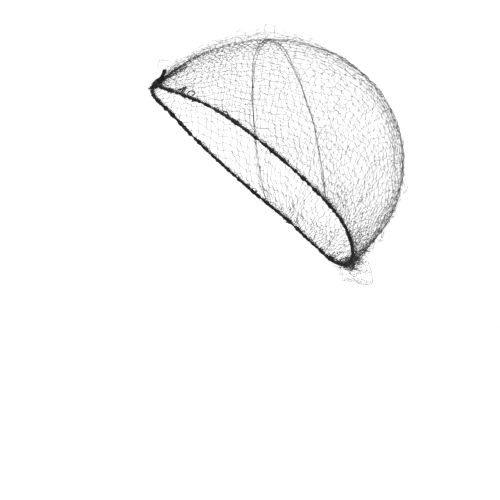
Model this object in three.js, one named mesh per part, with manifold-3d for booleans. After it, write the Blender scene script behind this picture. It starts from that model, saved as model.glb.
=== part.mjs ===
// A knotted nylon hairnet in the shape it has on a head: an open net in two panels that a seam
// thread joins over the crown, gathered all round onto an elastic that is tied at the forehead.
// Millimetres. +Z is up, the forehead is towards -Y and the wearer's left is +X. The origin is
// the centre of the head opening, halfway between the forehead and the nape.
// The real meshes are about 6 mm wide; here the net is cut through in fewer, wider gaps.
import * as THREE from "three";
import { mergeVertices } from "three/addons/utils/BufferGeometryUtils.js";
import Module from "manifold-3d";

const wasm = await Module();
wasm.setup();
const { degToRad, smoothstep, clamp } = THREE.MathUtils;

// The head inside the net is an ellipsoid whose long axis rises a little towards the back.
const HEAD_HALF_BREADTH = 76;
const HEAD_HALF_LENGTH = 102;
const HEAD_HALF_HEIGHT = 90;
const HEAD_TILT = degToRad(7.7);

// Places on the head's middle section, as eccentric angles from the back over the crown.
const FOREHEAD_ANGLE = degToRad(133);
const SEAM_ANGLE = degToRad(81);
const NAPE_ANGLE = degToRad(-59);

// The net's columns of meshes run from its left edge over the head to its right edge. These
// are the places of a column's foot, as shares of the way along the edge to the nape.
const FOREHEAD_FOOT_SHARE = 0.05;
const SEAM_FOOT_SHARE = 0.615;
const NAPE_FOOT_SHARE = 0.88;

// How the net's edge bows up from the straight line between forehead and nape: shares of that
// line, and rises as shares of the head's half size.
const EDGE_BOW = [
  { along: 0, rise: 0 },
  { along: 0.15, rise: 0.053 },
  { along: 0.35, rise: 0.074 },
  { along: 0.6, rise: 0.086 },
  { along: 0.8, rise: 0.082 },
  { along: 0.92, rise: 0.04 },
  { along: 1, rise: 0 },
];

// Where slack net puffs away from the head: an angle on the middle section, an angle to the
// left side, a share of the puff height and a spread as a share of the head's half size.
const PUFF_HEIGHT = 8;
const PUFFS = [
  { angle: 112, side: 4, height: 0.75, spread: 0.17 },
  { angle: 91, side: -6, height: 1, spread: 0.19 },
  { angle: 74, side: 9, height: 0.8, spread: 0.19 },
  { angle: 55, side: -8, height: 0.45, spread: 0.2 },
  { angle: -19, side: 8, height: 0.55, spread: 0.19 },
  { angle: -37, side: -10, height: 0.75, spread: 0.2 },
  { angle: -53, side: 8, height: 1.5, spread: 0.17 },
];
const PUFF_TAPER_SHARE = 0.09; // of the head's half size, from the edge to where puffs are full

// The net is a sheet, cut through by a grid of gaps between flat strands.
const NET_WALL = 1;
const NET_STANDOFF = 0.8; // from the head to the middle of the sheet
const STRAND_WIDTH = 4;
const HEM_WIDTH = 4.5; // the closed, gathered strip along the elastic
const SELVEDGE_WIDTH = 2; // the closed strip along the seam
const SMALLEST_GAP = 7; // a cell with less room than this between its strands stays closed
const FRONT_COLUMNS = 5;
const BACK_COLUMNS = 10;
const ROWS = 13;

const SEAM_DIAMETER = 1.2;
const SEAM_STEPS = 36;
const SEAM_SIDES = 5;

// The elastic is a cord, and the gathered net stands out of it as rings.
const ELASTIC_DIAMETER = 2;
const GATHER_HEIGHT = 0.35;
const GATHER_PITCH = 10;
const STEPS_PER_GATHER = 4;
const ELASTIC_SIDES = 6;

// The knot that ties the elastic at the forehead, a lump of wraps round a core. The wraps' and
// the core's sizes are shares of the lump's half size, and a wrap leans and turns in degrees.
const KNOT_WIDTH = 7.2;
const KNOT_HEIGHT = 9.4;
const KNOT_DEPTH = 4.6;
const KNOT_LIFT = 3; // how far the knot pulls the elastic up over the net's edge
const KNOT_CLIMB_LENGTH = 9; // the stretch over which the elastic climbs to the knot
const WRAP_SHARE = 0.3;
const KNOT_CORE_SHARE = 0.72;
const KNOT_WRAPS = [
  { lean: 68, turn: -15 },
  { lean: 74, turn: -38 },
  { lean: 60, turn: 82 },
];

const KNOT_SEGMENTS = 14;

// The elastic's two cut ends, which stand out of the knot in the directions given.
const LONG_TAIL_LENGTH = 6.5;
const LONG_TAIL_WAY = { across: 0.1, up: 1, out: 0.15 };
const SHORT_TAIL_LENGTH = 2.5;
const SHORT_TAIL_WAY = { across: -0.45, up: -1, out: -0.1 };
const TAIL_BEND_SHARE = 0.09; // of the tail's length, outwards at its end
const TAIL_STEPS = 6;

const CLEARANCE = 0.3;

// On the unit sphere x is to the left, y to the back and z up. This matrix makes it the head.
const acrossUnit = new THREE.Vector3(1, 0, 0);
const foreheadUnit = middleUnit(FOREHEAD_ANGLE);
const napeUnit = middleUnit(NAPE_ANGLE);
const headMatrix = new THREE.Matrix4()
  .makeRotationX(HEAD_TILT)
  .scale(new THREE.Vector3(HEAD_HALF_BREADTH, HEAD_HALF_LENGTH, HEAD_HALF_HEIGHT));
const openingCentre = foreheadUnit.clone().add(napeUnit).multiplyScalar(0.5).applyMatrix4(headMatrix);
headMatrix.setPosition(openingCentre.negate());
const headNormalMatrix = new THREE.Matrix3().getNormalMatrix(headMatrix);

// The straight line from forehead to nape on the unit sphere, and the way up from it.
const openingLine = napeUnit.clone().sub(foreheadUnit);
const openingLength = openingLine.length();
const openingUp = openingLine.clone().cross(acrossUnit).negate().normalize();
const edgeBow = new THREE.CubicInterpolant(
  EDGE_BOW.map((row) => row.along),
  EDGE_BOW.map((row) => row.rise),
  1,
);

function middleUnit(angle) {
  return new THREE.Vector3(0, Math.cos(angle), Math.sin(angle));
}

function bowAt(along) {
  return edgeBow.evaluate(clamp(along, 0, 1))[0];
}

// How far a point of the unit sphere lies above the net's edge.
function heightAboveEdge(unit) {
  const fromForehead = unit.clone().sub(foreheadUnit);
  const along = fromForehead.dot(openingLine) / openingLength ** 2;
  return fromForehead.dot(openingUp) - bowAt(along);
}

function puffHeight(unit) {
  const taper = smoothstep(heightAboveEdge(unit), 0, PUFF_TAPER_SHARE);
  const height = PUFFS.reduce((sum, puff) => {
    const centre = middleUnit(degToRad(puff.angle)).multiplyScalar(Math.cos(degToRad(puff.side)));
    centre.x = Math.sin(degToRad(puff.side));
    return sum + puff.height * Math.exp(-unit.distanceToSquared(centre) / puff.spread ** 2);
  }, 0);
  return PUFF_HEIGHT * taper * height;
}

function headNormal(unit) {
  return unit.clone().applyMatrix3(headNormalMatrix).normalize();
}

// A point at a height above the head's surface.
function overHead(unit, height) {
  return unit.clone().applyMatrix4(headMatrix).addScaledVector(headNormal(unit), height);
}

// The left half of the net's edge, from forehead to nape, on the unit sphere.
function makeHalfEdge(samples = 120) {
  const points = [];
  for (let i = 0; i <= samples; i++) {
    const along = (1 - Math.cos((Math.PI * i) / samples)) / 2;
    const point = foreheadUnit.clone().addScaledVector(openingLine, along);
    point.addScaledVector(openingUp, bowAt(along));
    point.x = Math.sqrt(Math.max(0, 1 - point.lengthSq()));
    points.push(point.normalize());
  }
  return new THREE.CatmullRomCurve3(points);
}
const halfEdge = makeHalfEdge();

// A column of the net is an arc of a circle on the unit sphere, from its foot on the left edge
// (across = 1) over the middle section (0) to its foot on the right edge (-1).
function columnPoint(angle, foot, across) {
  const top = middleUnit(angle);
  const footUnit = halfEdge.getPointAt(foot);
  const up = new THREE.Vector3(0, top.y - footUnit.y, top.z - footUnit.z).normalize();
  const radius = top.dot(up);
  const centre = top.clone().addScaledVector(up, -radius);
  const footTurn = Math.atan2(footUnit.x, footUnit.clone().sub(centre).dot(up));
  return centre
    .addScaledVector(up, radius * Math.cos(footTurn * across))
    .addScaledVector(acrossUnit, radius * Math.sin(footTurn * across));
}

// The lines of one direction of a grid of strands: each strand has a line on both its sides, and
// each cell one through its middle. A line's place is a share plus a shift in millimetres.
function strandLines(cells, start, end) {
  const lines = [
    { at: 0, shift: start.margin },
    { at: 0, shift: start.margin + start.strip },
  ];
  for (let cell = 1; cell <= cells; cell++) {
    lines.push({ at: (cell - 0.5) / cells, shift: 0 });
    const last = cell === cells;
    lines.push({ at: cell / cells, shift: last ? -end.margin - end.strip : -STRAND_WIDTH / 2 });
    lines.push({ at: cell / cells, shift: last ? -end.margin : STRAND_WIDTH / 2 });
  }
  return lines;
}

// A closed sheet over a grid of points, without the grid's open squares.
function sheetGeometry(columns, rows, outerPoint, innerPoint, isOpen) {
  const positions = [];
  const triangles = [];
  for (let i = 0; i < columns; i++)
    for (let j = 0; j < rows; j++)
      positions.push(...outerPoint(i, j).toArray(), ...innerPoint(i, j).toArray());
  const outer = (i, j) => (i * rows + j) * 2;
  const inner = (i, j) => outer(i, j) + 1;
  const isSolid = (i, j) => i >= 0 && j >= 0 && i < columns - 1 && j < rows - 1 && !isOpen(i, j);
  const quad = (a, b, c, d) => triangles.push(a, b, c, a, c, d);
  const wall = (i, j, k, l) => quad(outer(i, j), inner(i, j), inner(k, l), outer(k, l));
  for (let i = 0; i < columns - 1; i++)
    for (let j = 0; j < rows - 1; j++) {
      if (!isSolid(i, j)) continue;
      quad(outer(i, j), outer(i + 1, j), outer(i + 1, j + 1), outer(i, j + 1));
      quad(inner(i, j), inner(i, j + 1), inner(i + 1, j + 1), inner(i + 1, j));
      if (!isSolid(i, j - 1)) wall(i, j, i + 1, j);
      if (!isSolid(i + 1, j)) wall(i + 1, j, i + 1, j + 1);
      if (!isSolid(i, j + 1)) wall(i + 1, j + 1, i, j + 1);
      if (!isSolid(i - 1, j)) wall(i, j + 1, i, j);
    }
  return indexedGeometry(positions, triangles);
}

function indexedGeometry(positions, triangles) {
  const geometry = new THREE.BufferGeometry();
  geometry.setAttribute("position", new THREE.Float32BufferAttribute(positions, 3));
  geometry.setIndex(triangles);
  return geometry;
}

// One panel of the net, between two columns, pierced by a gap in each cell that has room for it.
function netPanel(panel) {
  const edge = { margin: 0, strip: HEM_WIDTH };
  const alongLines = strandLines(panel.columns, panel.start, panel.end);
  const acrossLines = strandLines(ROWS, edge, edge);
  const surface = (along, across) =>
    columnPoint(
      THREE.MathUtils.lerp(panel.start.angle, panel.end.angle, along),
      THREE.MathUtils.lerp(panel.start.foot, panel.end.foot, along),
      1 - 2 * across,
    );
  const onHead = (along, across) => overHead(surface(along, across), NET_STANDOFF);
  const step = 0.002;
  const units = alongLines.map((column) =>
    acrossLines.map((row) => {
      const [u, v] = [column.at, row.at].map((share) => clamp(share, step, 1 - step));
      const along = onHead(u + step, v).sub(onHead(u - step, v)).divideScalar(2 * step);
      const across = onHead(u, v + step).sub(onHead(u, v - step)).divideScalar(2 * step);
      const area = along.clone().cross(across).length();
      const alongShift = (column.shift * across.length()) / area;
      const acrossShift = (row.shift * along.length()) / area;
      const [alongLimit, acrossLimit] = [0.4 / panel.columns, 0.4 / ROWS];
      return surface(
        column.at + clamp(alongShift, -alongLimit, alongLimit),
        row.at + clamp(acrossShift, -acrossLimit, acrossLimit),
      );
    }),
  );
  const point = (i, j, height) =>
    overHead(units[i][j], NET_STANDOFF + puffHeight(units[i][j]) + height);
  const hasGap = (column, row) => {
    const [i, j] = [3 * column + 1, 3 * row + 1];
    const long = point(i, j + 1, 0).distanceTo(point(i + 2, j + 1, 0));
    const wide = point(i + 1, j, 0).distanceTo(point(i + 1, j + 2, 0));
    return Math.min(long, wide) > SMALLEST_GAP;
  };
  return sheetGeometry(
    alongLines.length,
    acrossLines.length,
    (i, j) => point(i, j, NET_WALL / 2),
    (i, j) => point(i, j, -NET_WALL / 2),
    (i, j) => i % 3 > 0 && j % 3 > 0 && hasGap(Math.floor(i / 3), Math.floor(j / 3)),
  );
}

// A closed geometry whose triangles share their corners.
function welded(geometry) {
  geometry.deleteAttribute("normal");
  geometry.deleteAttribute("uv");
  return mergeVertices(geometry, 1e-5);
}

// A round cord with flat ends along a path.
function cordGeometry(path, diameter, steps, sides) {
  const corners = [];
  for (let k = 0; k < sides; k++) {
    const turn = (2 * Math.PI * k) / sides;
    corners.push(new THREE.Vector2(Math.cos(turn), Math.sin(turn)).multiplyScalar(diameter / 2));
  }
  const options = { extrudePath: path, steps, bevelEnabled: false };
  return welded(new THREE.ExtrudeGeometry(new THREE.Shape(corners), options));
}

function seamThread() {
  const points = [];
  for (let i = 0; i <= SEAM_STEPS; i++) {
    const unit = columnPoint(SEAM_ANGLE, SEAM_FOOT_SHARE, 1 - (2 * i) / SEAM_STEPS);
    points.push(overHead(unit, NET_STANDOFF + puffHeight(unit)));
  }
  const path = new THREE.CatmullRomCurve3(points);
  return cordGeometry(path, SEAM_DIAMETER, SEAM_STEPS, SEAM_SIDES);
}

// The knot lies on the net, so the elastic climbs off the head to it, and up over the net's edge.
const knotHeight = NET_STANDOFF + NET_WALL / 2 + CLEARANCE + KNOT_DEPTH / 2;
const elasticDrop = ELASTIC_DIAMETER / 2 + GATHER_HEIGHT + CLEARANCE;

function halfEdgeLength(samples = 200) {
  let length = 0;
  for (let i = 1; i <= samples; i++) {
    const before = overHead(halfEdge.getPointAt((i - 1) / samples), NET_STANDOFF);
    length += before.distanceTo(overHead(halfEdge.getPointAt(i / samples), NET_STANDOFF));
  }
  return length;
}
const elasticLength = 2 * halfEdgeLength();

// The elastic's centre at a share of the way round, from the knot over the left side.
function elasticPlace(share) {
  const onLeft = share <= 0.5;
  const halfShare = onLeft ? 2 * share : 2 - 2 * share;
  const unit = halfEdge.getPointAt(halfShare);
  const tangent = halfEdge.getTangentAt(halfShare);
  if (!onLeft) {
    unit.x = -unit.x;
    tangent.y = -tangent.y;
    tangent.z = -tangent.z;
  }
  const normal = headNormal(unit);
  const down = tangent.transformDirection(headMatrix).cross(normal).normalize();
  const fromKnot = elasticLength * Math.min(share, 1 - share);
  const climb = Math.exp(-((fromKnot / KNOT_CLIMB_LENGTH) ** 2));
  const centre = overHead(unit, NET_STANDOFF + (knotHeight - NET_STANDOFF) * climb);
  centre.addScaledVector(down, elasticDrop - KNOT_LIFT * climb ** 3);
  return { centre, normal, down };
}

function elasticBand() {
  const start = (KNOT_WIDTH / 2 + CLEARANCE) / elasticLength;
  const gathers = Math.round(elasticLength / GATHER_PITCH);
  const steps = gathers * STEPS_PER_GATHER;
  const points = [];
  for (let i = 0; i <= steps; i++)
    points.push(elasticPlace(start + ((1 - 2 * start) * i) / steps).centre);
  const path = new THREE.CatmullRomCurve3(points);
  path.arcLengthDivisions = 2 * steps;
  const geometry = cordGeometry(path, ELASTIC_DIAMETER, steps, ELASTIC_SIDES);
  const centres = path.getSpacedPoints(steps);
  const corners = geometry.attributes.position;
  const corner = new THREE.Vector3();
  for (let i = 0; i < corners.count; i++) {
    corner.fromBufferAttribute(corners, i);
    const distances = centres.map((centre) => centre.distanceToSquared(corner));
    const ring = distances.indexOf(Math.min(...distances));
    const lump = Math.max(0, Math.sin((2 * Math.PI * ring) / STEPS_PER_GATHER));
    const growth = (GATHER_HEIGHT * lump) / (ELASTIC_DIAMETER / 2);
    corner.addScaledVector(corner.clone().sub(centres[ring]), growth);
    corners.setXYZ(i, corner.x, corner.y, corner.z);
  }
  return geometry;
}

// The frame in which the knot is made: x across the forehead, y up the head and z outwards.
function knotFrame() {
  const { centre, normal, down } = elasticPlace(0);
  const up = down.clone().negate();
  return new THREE.Matrix4().makeBasis(up.clone().cross(normal), up, normal).setPosition(centre);
}

// The knot is made as a ball of radius 1 and then given its width, height and depth.
function foreheadKnot() {
  const pieces = [new THREE.SphereGeometry(KNOT_CORE_SHARE, KNOT_SEGMENTS, KNOT_SEGMENTS / 2)];
  for (const wrap of KNOT_WRAPS) {
    const ring = new THREE.TorusGeometry(1 - WRAP_SHARE, WRAP_SHARE, ELASTIC_SIDES, KNOT_SEGMENTS);
    pieces.push(ring.rotateY(degToRad(wrap.lean)).rotateZ(degToRad(wrap.turn)));
  }
  const knot = joined(pieces);
  knot.scale(KNOT_WIDTH / 2, KNOT_HEIGHT / 2, KNOT_DEPTH / 2);
  return knot.applyMatrix4(knotFrame());
}

function joined(geometries) {
  const solids = geometries.map((geometry) => {
    const closed = welded(geometry);
    const vertProperties = closed.attributes.position.array;
    const triVerts = Uint32Array.from(closed.index.array);
    return new wasm.Manifold(new wasm.Mesh({ numProp: 3, vertProperties, triVerts }));
  });
  const mesh = solids.reduce((sum, solid) => sum.add(solid)).getMesh();
  return indexedGeometry([...mesh.vertProperties], [...mesh.triVerts]);
}

// A cut end of the elastic: it leaves the knot in its own direction and bends outwards.
function knotTail(length, way) {
  const direction = new THREE.Vector3(way.across, way.up, way.out).normalize();
  const knotHalfSize = new THREE.Vector3(KNOT_WIDTH, KNOT_HEIGHT, KNOT_DEPTH).divideScalar(2);
  const start = 1 / direction.clone().divide(knotHalfSize).length() + CLEARANCE;
  const root = direction.clone().multiplyScalar(start + ELASTIC_DIAMETER / 4);
  const middle = root.clone().addScaledVector(direction, length / 2);
  const tip = root.clone().addScaledVector(direction, length);
  tip.z += length * TAIL_BEND_SHARE;
  const path = new THREE.QuadraticBezierCurve3(root, middle, tip);
  return cordGeometry(path, ELASTIC_DIAMETER, TAIL_STEPS, ELASTIC_SIDES).applyMatrix4(knotFrame());
}

const nylonThread = { color: 0x2b2b2e, roughness: 0.75, metalness: 0 };
const coveredElastic = { color: 0x161618, roughness: 0.85, metalness: 0 };

const hairnet = new THREE.Group();
function addPiece(name, geometry, finish) {
  geometry.computeVertexNormals();
  const mesh = new THREE.Mesh(geometry, new THREE.MeshStandardMaterial(finish));
  mesh.name = name;
  hairnet.add(mesh);
}

const seamMargin = SEAM_DIAMETER / 2 + CLEARANCE;
const foreheadSide = {
  angle: FOREHEAD_ANGLE,
  foot: FOREHEAD_FOOT_SHARE,
  margin: 0,
  strip: HEM_WIDTH,
};
const seamSide = {
  angle: SEAM_ANGLE,
  foot: SEAM_FOOT_SHARE,
  margin: seamMargin,
  strip: SELVEDGE_WIDTH,
};
const napeSide = {
  angle: NAPE_ANGLE,
  foot: NAPE_FOOT_SHARE,
  margin: 0,
  strip: HEM_WIDTH,
};
const frontPanel = { start: foreheadSide, end: seamSide, columns: FRONT_COLUMNS };
const backPanel = { start: seamSide, end: napeSide, columns: BACK_COLUMNS };

addPiece("net_front_panel", netPanel(frontPanel), nylonThread);
addPiece("net_back_panel", netPanel(backPanel), nylonThread);
addPiece("crown_seam_thread", seamThread(), nylonThread);
addPiece("elastic_band", elasticBand(), coveredElastic);
addPiece("forehead_knot", foreheadKnot(), coveredElastic);
addPiece("knot_tail_long", knotTail(LONG_TAIL_LENGTH, LONG_TAIL_WAY), coveredElastic);
addPiece("knot_tail_short", knotTail(SHORT_TAIL_LENGTH, SHORT_TAIL_WAY), coveredElastic);

export default hairnet;
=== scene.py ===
"""A knotted nylon hairnet in the shape it has on a head, made strand by strand.

Metres. +Z is up, the forehead is towards -Y and the wearer's left is +X. The origin is the
centre of the head opening, halfway between the forehead and the nape.
"""

import math

import bpy
import numpy as np
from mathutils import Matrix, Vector


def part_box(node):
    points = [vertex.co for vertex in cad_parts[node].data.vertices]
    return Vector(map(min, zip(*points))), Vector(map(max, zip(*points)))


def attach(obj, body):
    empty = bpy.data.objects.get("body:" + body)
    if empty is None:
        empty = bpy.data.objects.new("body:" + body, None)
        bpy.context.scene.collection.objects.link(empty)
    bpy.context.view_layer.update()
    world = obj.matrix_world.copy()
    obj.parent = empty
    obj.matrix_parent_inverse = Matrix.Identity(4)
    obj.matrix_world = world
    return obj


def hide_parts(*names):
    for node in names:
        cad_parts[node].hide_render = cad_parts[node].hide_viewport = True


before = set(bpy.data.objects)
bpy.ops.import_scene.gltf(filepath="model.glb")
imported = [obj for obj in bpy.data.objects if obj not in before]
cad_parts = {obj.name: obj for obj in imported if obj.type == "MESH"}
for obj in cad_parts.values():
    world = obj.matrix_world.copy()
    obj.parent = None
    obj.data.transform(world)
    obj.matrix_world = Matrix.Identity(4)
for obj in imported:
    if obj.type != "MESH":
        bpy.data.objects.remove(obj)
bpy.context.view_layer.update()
random = np.random.default_rng(20)

# The head that the net is stretched over is an ellipsoid whose long axis rises to the back.
HEAD_HALF_SIZE = np.array([0.076, 0.102, 0.090])
HEAD_TILT = math.radians(7.7)

# Places on the head's middle section, as eccentric angles from the back over the crown.
FOREHEAD_ANGLE = math.radians(133)
SEAM_ANGLE = math.radians(81)
NAPE_ANGLE = math.radians(-59)

# Feet of the net's columns, as shares of the way along its edge from forehead to nape.
FOREHEAD_FOOT_SHARE = 0.05
SEAM_FOOT_SHARE = 0.615
NAPE_FOOT_SHARE = 0.88

# How the net's edge bows up from the straight line between forehead and nape, in shares.
EDGE_BOW = [
    # along, rise
    (0, 0),
    (0.15, 0.053),
    (0.35, 0.074),
    (0.6, 0.086),
    (0.8, 0.082),
    (0.92, 0.04),
    (1, 0),
]

# Broad, low puffs of slack net.
PUFF_HEIGHT = 0.0004
PUFFS = [
    # angle, side, height share, spread
    (112, 4, 0.75, 0.17),
    (91, -6, 1, 0.19),
    (74, 9, 0.8, 0.19),
    (55, -8, 0.45, 0.2),
    (20, 30, 0.7, 0.2),
    (35, -35, 0.6, 0.2),
    (-19, 8, 0.55, 0.19),
    (-37, -10, 0.75, 0.2),
    (-53, 8, 1.5, 0.17),
]

# Over the crown the net lies closer to the head: how far, and over which degrees.
CROWN_DROP = 0.0021
CROWN_ANGLE = 95
CROWN_SPREAD = 25

# Slack net stands up in narrow folds along the middle: their height over each angle. The net
# itself rises a part of the way, and fine loops of it stand up to the full height.
FOLD_HEIGHT = 0.0095
FOLD_CARRIED = 0.05
FOLD_PROFILE = [
    # angle, height share
    (-62, 0.3),
    (-57, 0.5),
    (-48, 0.6),
    (-42, 0.7),
    (-36, 0.25),
    (-28, 0.5),
    (-22, 0.8),
    (-16, 0.85),
    (-8, 0.25),
    (10, 0.05),
    (50, 0.12),
    (60, 0.3),
    (68, 0.65),
    (77, 0.95),
    (86, 1.2),
    (93, 0.95),
    (101, 0.9),
    (106, 0.85),
    (113, 0.65),
    (122, 0.8),
    (130, 0.6),
]
FOLDS = [
    # side, height share, half width, wander
    (0.02, 1, 0.10, 0.05),
    (-0.27, 0.6, 0.08, 0.07),
    (0.24, 0.35, 0.07, 0.06),
]
TAPER_SHARE = 0.09  # how far above the net's edge the slack is full, in head radii
CREST_LOOPS = [
    # side, height share
    (0.03, 1),
    (-0.12, 0.65),
]
CREST_ANGLES = np.arange(-61, 129, 3.7)
CREST_LEVELS = np.arange(-2, 3)[:, None]  # of knots across a row, 0 on its crest
CREST_LEVEL_WIDTH = 0.036
CREST_SCATTER = 0.0005
FINE_THREAD_DIAMETER = 0.00015
FINEST_THREAD_DIAMETER = 0.00009
TWIST_HEIGHT = 0.00005  # of the threads' raised twist

MATERIALS = [
    # slot, name, darkest and lightest colour, roughness, grain, shine
    ("net_thread", "net_thread", (0.008, 0.008, 0.009), (0.036, 0.035, 0.038), 0.6, 400, 0.25),
    ("elastic", "elastic_cover", (0.003, 0.003, 0.0035), (0.012, 0.012, 0.013), 0.75, 700, 0.12),
]

# The net's thread and meshes.
MESH_SIDE = 0.0064  # the length of thread from knot to knot
THREAD_DIAMETER = 0.0002
THREAD_SIDES = 4  # of every thread for which nothing else is said
STRAND_SEGMENTS = 8
NET_STANDOFF = 0.0003
FRONT_COLUMNS = 22
BACK_COLUMNS = 35
ROW_STRETCH = 0.95  # the rows' spacing over the crown, as a share of the mesh
BUNCHING = 0.6  # 0 keeps that spacing everywhere, 1 keeps every row up to the elastic
LONGEST_BOW = 0.0019
SLACK_SHOWN = 0.7
NET_KNOT_RADIUS = 0.00021
DRIFT = 0.0013  # how far the knots stray together
DRIFT_LENGTH = 0.034
JITTER = 0.0006  # how far they stray one from the next
JITTER_LENGTH = 0.011
KNOT_SCATTER = 0.0003
HEM_SCATTER = 0.00025  # how far the net's ends stray from the elastic's centre line
LOFT = 0.0004  # how far the knots lift off the head
LOFT_LENGTH = 0.024
SWAY_LENGTH = 0.018  # over which strands bow the same way
FREE_HEIGHT = 0.05  # how far above the net's edge the knots stray in full, in head radii
FRONT_ZIGZAG = 0.0011
BACK_ZIGZAG = 0.0003
ARC_BOW = 0.433  # a shallow arc's bow, as a share of the root of length squared less chord squared

# Above the knot the net is drawn in to a rope, between these distances from the knot.
ROPE_START = (0.002, 0.008)
ROPE_END = (0.02, 0.042)
ROPE_REACH = 0.016  # to each side
ROPE_PULL = 0.8

# The gathered loops of slack, behind the ears and at the nape.
GATHER_REACH = 0.13  # how far up from the elastic, in head radii
GATHER_START = (0.0, 0.045)  # how far back they begin, and where there are most of them
GATHER_HEIGHTS = (0.0006, 0.0027)

# Ropes of drawn-together net over the forehead: along the middle and to each side.
FRONT_ROPES = [
    # rows of angle, side, millimetres off the net
    [
        (129.6, 0, 2.4),
        (127.3, 0.01, 1.3),
        (124.5, 0.01, 1.0),
        (121.5, 0.01, 1.2),
        (119.6, 0.02, 0.4),
        (117.6, 0.02, 0.1),
    ],
    [
        (129, 0.03, 1.2),
        (126.5, 0.07, 0.4),
        (123.5, 0.13, 0.3),
        (121, 0.15, 0.2),
        (118.8, 0.17, 0.1),
    ],
]
ROPE_SPREAD = 0.00055
ROPE_WAVE_LENGTH = 0.006

# The outlines of the thin bags of slack behind the nape and above the forehead knot.
NAPE_BAG = [
    # millimetres back, up
    (66, -66.5),
    (66.6, -71),
    (68, -75.3),
    (74, -75.6),
    (79, -77),
    (84, -78.4),
    (88.2, -77.2),
    (87, -69),
    (85, -62),
    (83, -56),
]
NAPE_HOOPS = [
    # millimetres to the side, size share
    (-11, 0.72),
    (-6.05, 0.93),
    (0, 1),
    (6.05, 0.95),
    (11, 0.75),
]
KNOT_BAG = [
    # millimetres back, up
    (-66, 71.5),
    (-70.3, 75),
    (-70.8, 78.4),
    (-69.2, 80.8),
    (-65.6, 81.3),
    (-62, 80.3),
    (-60.4, 77),
    (-61.5, 73.5),
]
KNOT_HOOPS = [
    # millimetres to the side, size share
    (-6, 0.7),
    (0.6, 1),
    (6, 0.82),
]
BAG_SCATTER = np.array([0.0007, 0.00035, 0.00035])
BAG_SAG = 0.0035
LOWEST_KNOT = -0.0788  # no slack hangs lower than these two
LOWEST_THREAD = -0.0792

# Tangles of thread on the elastic's left half, and loops that stand up from it.
TANGLES = [
    # share of the way round, degrees from outwards to downwards, size
    (0.047, 85, 0.002),
    (0.0958, 85, 0.0017),
    (0.1648, 75, 0.0013),
    (0.174, -70, 0.0015),
    (0.181, -50, 0.0019),
    (0.2076, -60, 0.0016),
    (0.2253, -80, 0.0012),
    (0.2526, 20, 0.0011),
    (0.283, -70, 0.0012),
    (0.3085, -40, 0.0013),
]
STANDING_LOOPS = [
    # share of the way round, width, height, thread diameter
    (0.0878, 0.0052, 0.0054, 0.0009),
    (0.1455, 0.0038, 0.0023, 0.001),
]
PLEAT_SHARES = (0.051, 0.0745)  # net drawn together above the elastic, beside the knot
PLEAT_HEIGHT = 0.0068
PLEAT_THREAD_RADIUS = 0.00014

SEAM_LIFT = 0.0002
SEAM_WANDER = 0.0004
SEAM_WANDER_LENGTH = 0.04
SEAM_RIPPLE = 0.00015
SEAM_RIPPLE_LENGTH = 0.012
SEAM_LACING_TURNS = 74
SEAM_THREAD_DIAMETER = 0.00042
SEAM_NARROW = 0.0005
SEAM_SPREAD = 0.0023  # how much further apart the seam's two threads lie over the crown
SEAM_SPREAD_SHARE = 0.36
SEAM_TAPER = 0.5  # how much thinner its threads are at the elastic
SEAM_TAPER_SHARES = (0.66, 0.92)

# The elastic's path, as in the solids.
ELASTIC_DIAMETER = 0.002
GATHER_HEIGHT = 0.00035
CAD_CLEARANCE = 0.0003
CAD_NET_STANDOFF = 0.0008
CAD_NET_WALL = 0.001

# The covered elastic, with its lumps and the threads wound round it.
ELASTIC_START = 0.0032  # from the middle of the knot
ELASTIC_RADIUS = 0.00074
ELASTIC_SWELL = 0.0002  # how much thicker it is away from the knot
ELASTIC_SWELL_SHARES = (0.02, 0.14)
ELASTIC_LUMPS = [
    # height, wavelength
    (0.00023, 0.0048),
    (0.00009, 0.0016),
]
ELASTIC_WINDINGS = [
    # pitch, diameter, sides, direction, lift
    (0.0011, 0.00026, 4, 1, 0.00004),
    (0.0047, 0.0004, 5, -1, 0.0001),
]

# The net's last meshes round the elastic, and the thread that stands off it there.
THREAD_SCATTER = 0.0004
HEM_LEAN = 0.0006
HEM_LIFTS = (0.00006, 0.00028)
HEM_THREAD_RADIUS = 0.00013
TUFT_THREAD_RADIUS = 0.00015
TUFT_HEIGHTS = (0.0002, 0.0034)
STRING_LENGTHS = (0.006, 0.03)
STRING_HEIGHTS = (0.0002, 0.0017)
TANGLE_SIZES = (0.0004, 0.0018)
NAPE_LOOP_HEIGHTS = (0.003, 0.0125)

KNOT_DEPTH = 0.0046
KNOT_LIFT = 0.003
KNOT_SINK = 1.5  # millimetres that the knot's wraps sink into the net
KNOT_CLIMB_LENGTH = 0.009
KNOT_CORD_RADIUS = 0.00098
CORD_LUMP_LENGTH = 0.0022
LONG_END_RADIUS = 0.00132
LONG_END_OFFSET = (0.0004, -0.0007, -0.0022)  # of its tip from the top of the solid's
SHORT_END_RADIUS = 0.001
COVER_PITCH = 0.0009
COVER_LIFT = 0.00003
COVER_THREAD_RADIUS = 0.00011
FAN_THREAD_RADIUS = 0.00012
FAN_CROSSING_RADIUS = 0.0001
FIBRE_RADIUS = 0.00006

# The two ends of the elastic through the knot, in millimetres.
LEFT_END = [
    # across, up, out
    (1.6, -2.8, 0.9),
    (-1.9, -1.6, 1.5),
    (-2.3, 1.6, 0.2),
    (-0.2, 3.4, -0.9),
    (2.2, 1.2, -0.4),
    (1.5, -1.4, 1.3),
    (-0.4, 0.8, 1.7),
    (-0.1, 3.2, 0.9),
    (0.3, 5.4, 0.6),
]
RIGHT_END = [
    # across, up, out
    (-1.4, -3.2, -0.2),
    (1.8, -2.9, 0.2),
    (2.6, -0.2, 0.1),
    (0.9, 2.6, 0.4),
    (-1.8, 1.5, 1.1),
    (-2.3, -1.4, 0.5),
    (-1.5, -3.4, 0.1),
    (-1.8, -4.4, -0.3),
]

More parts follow.
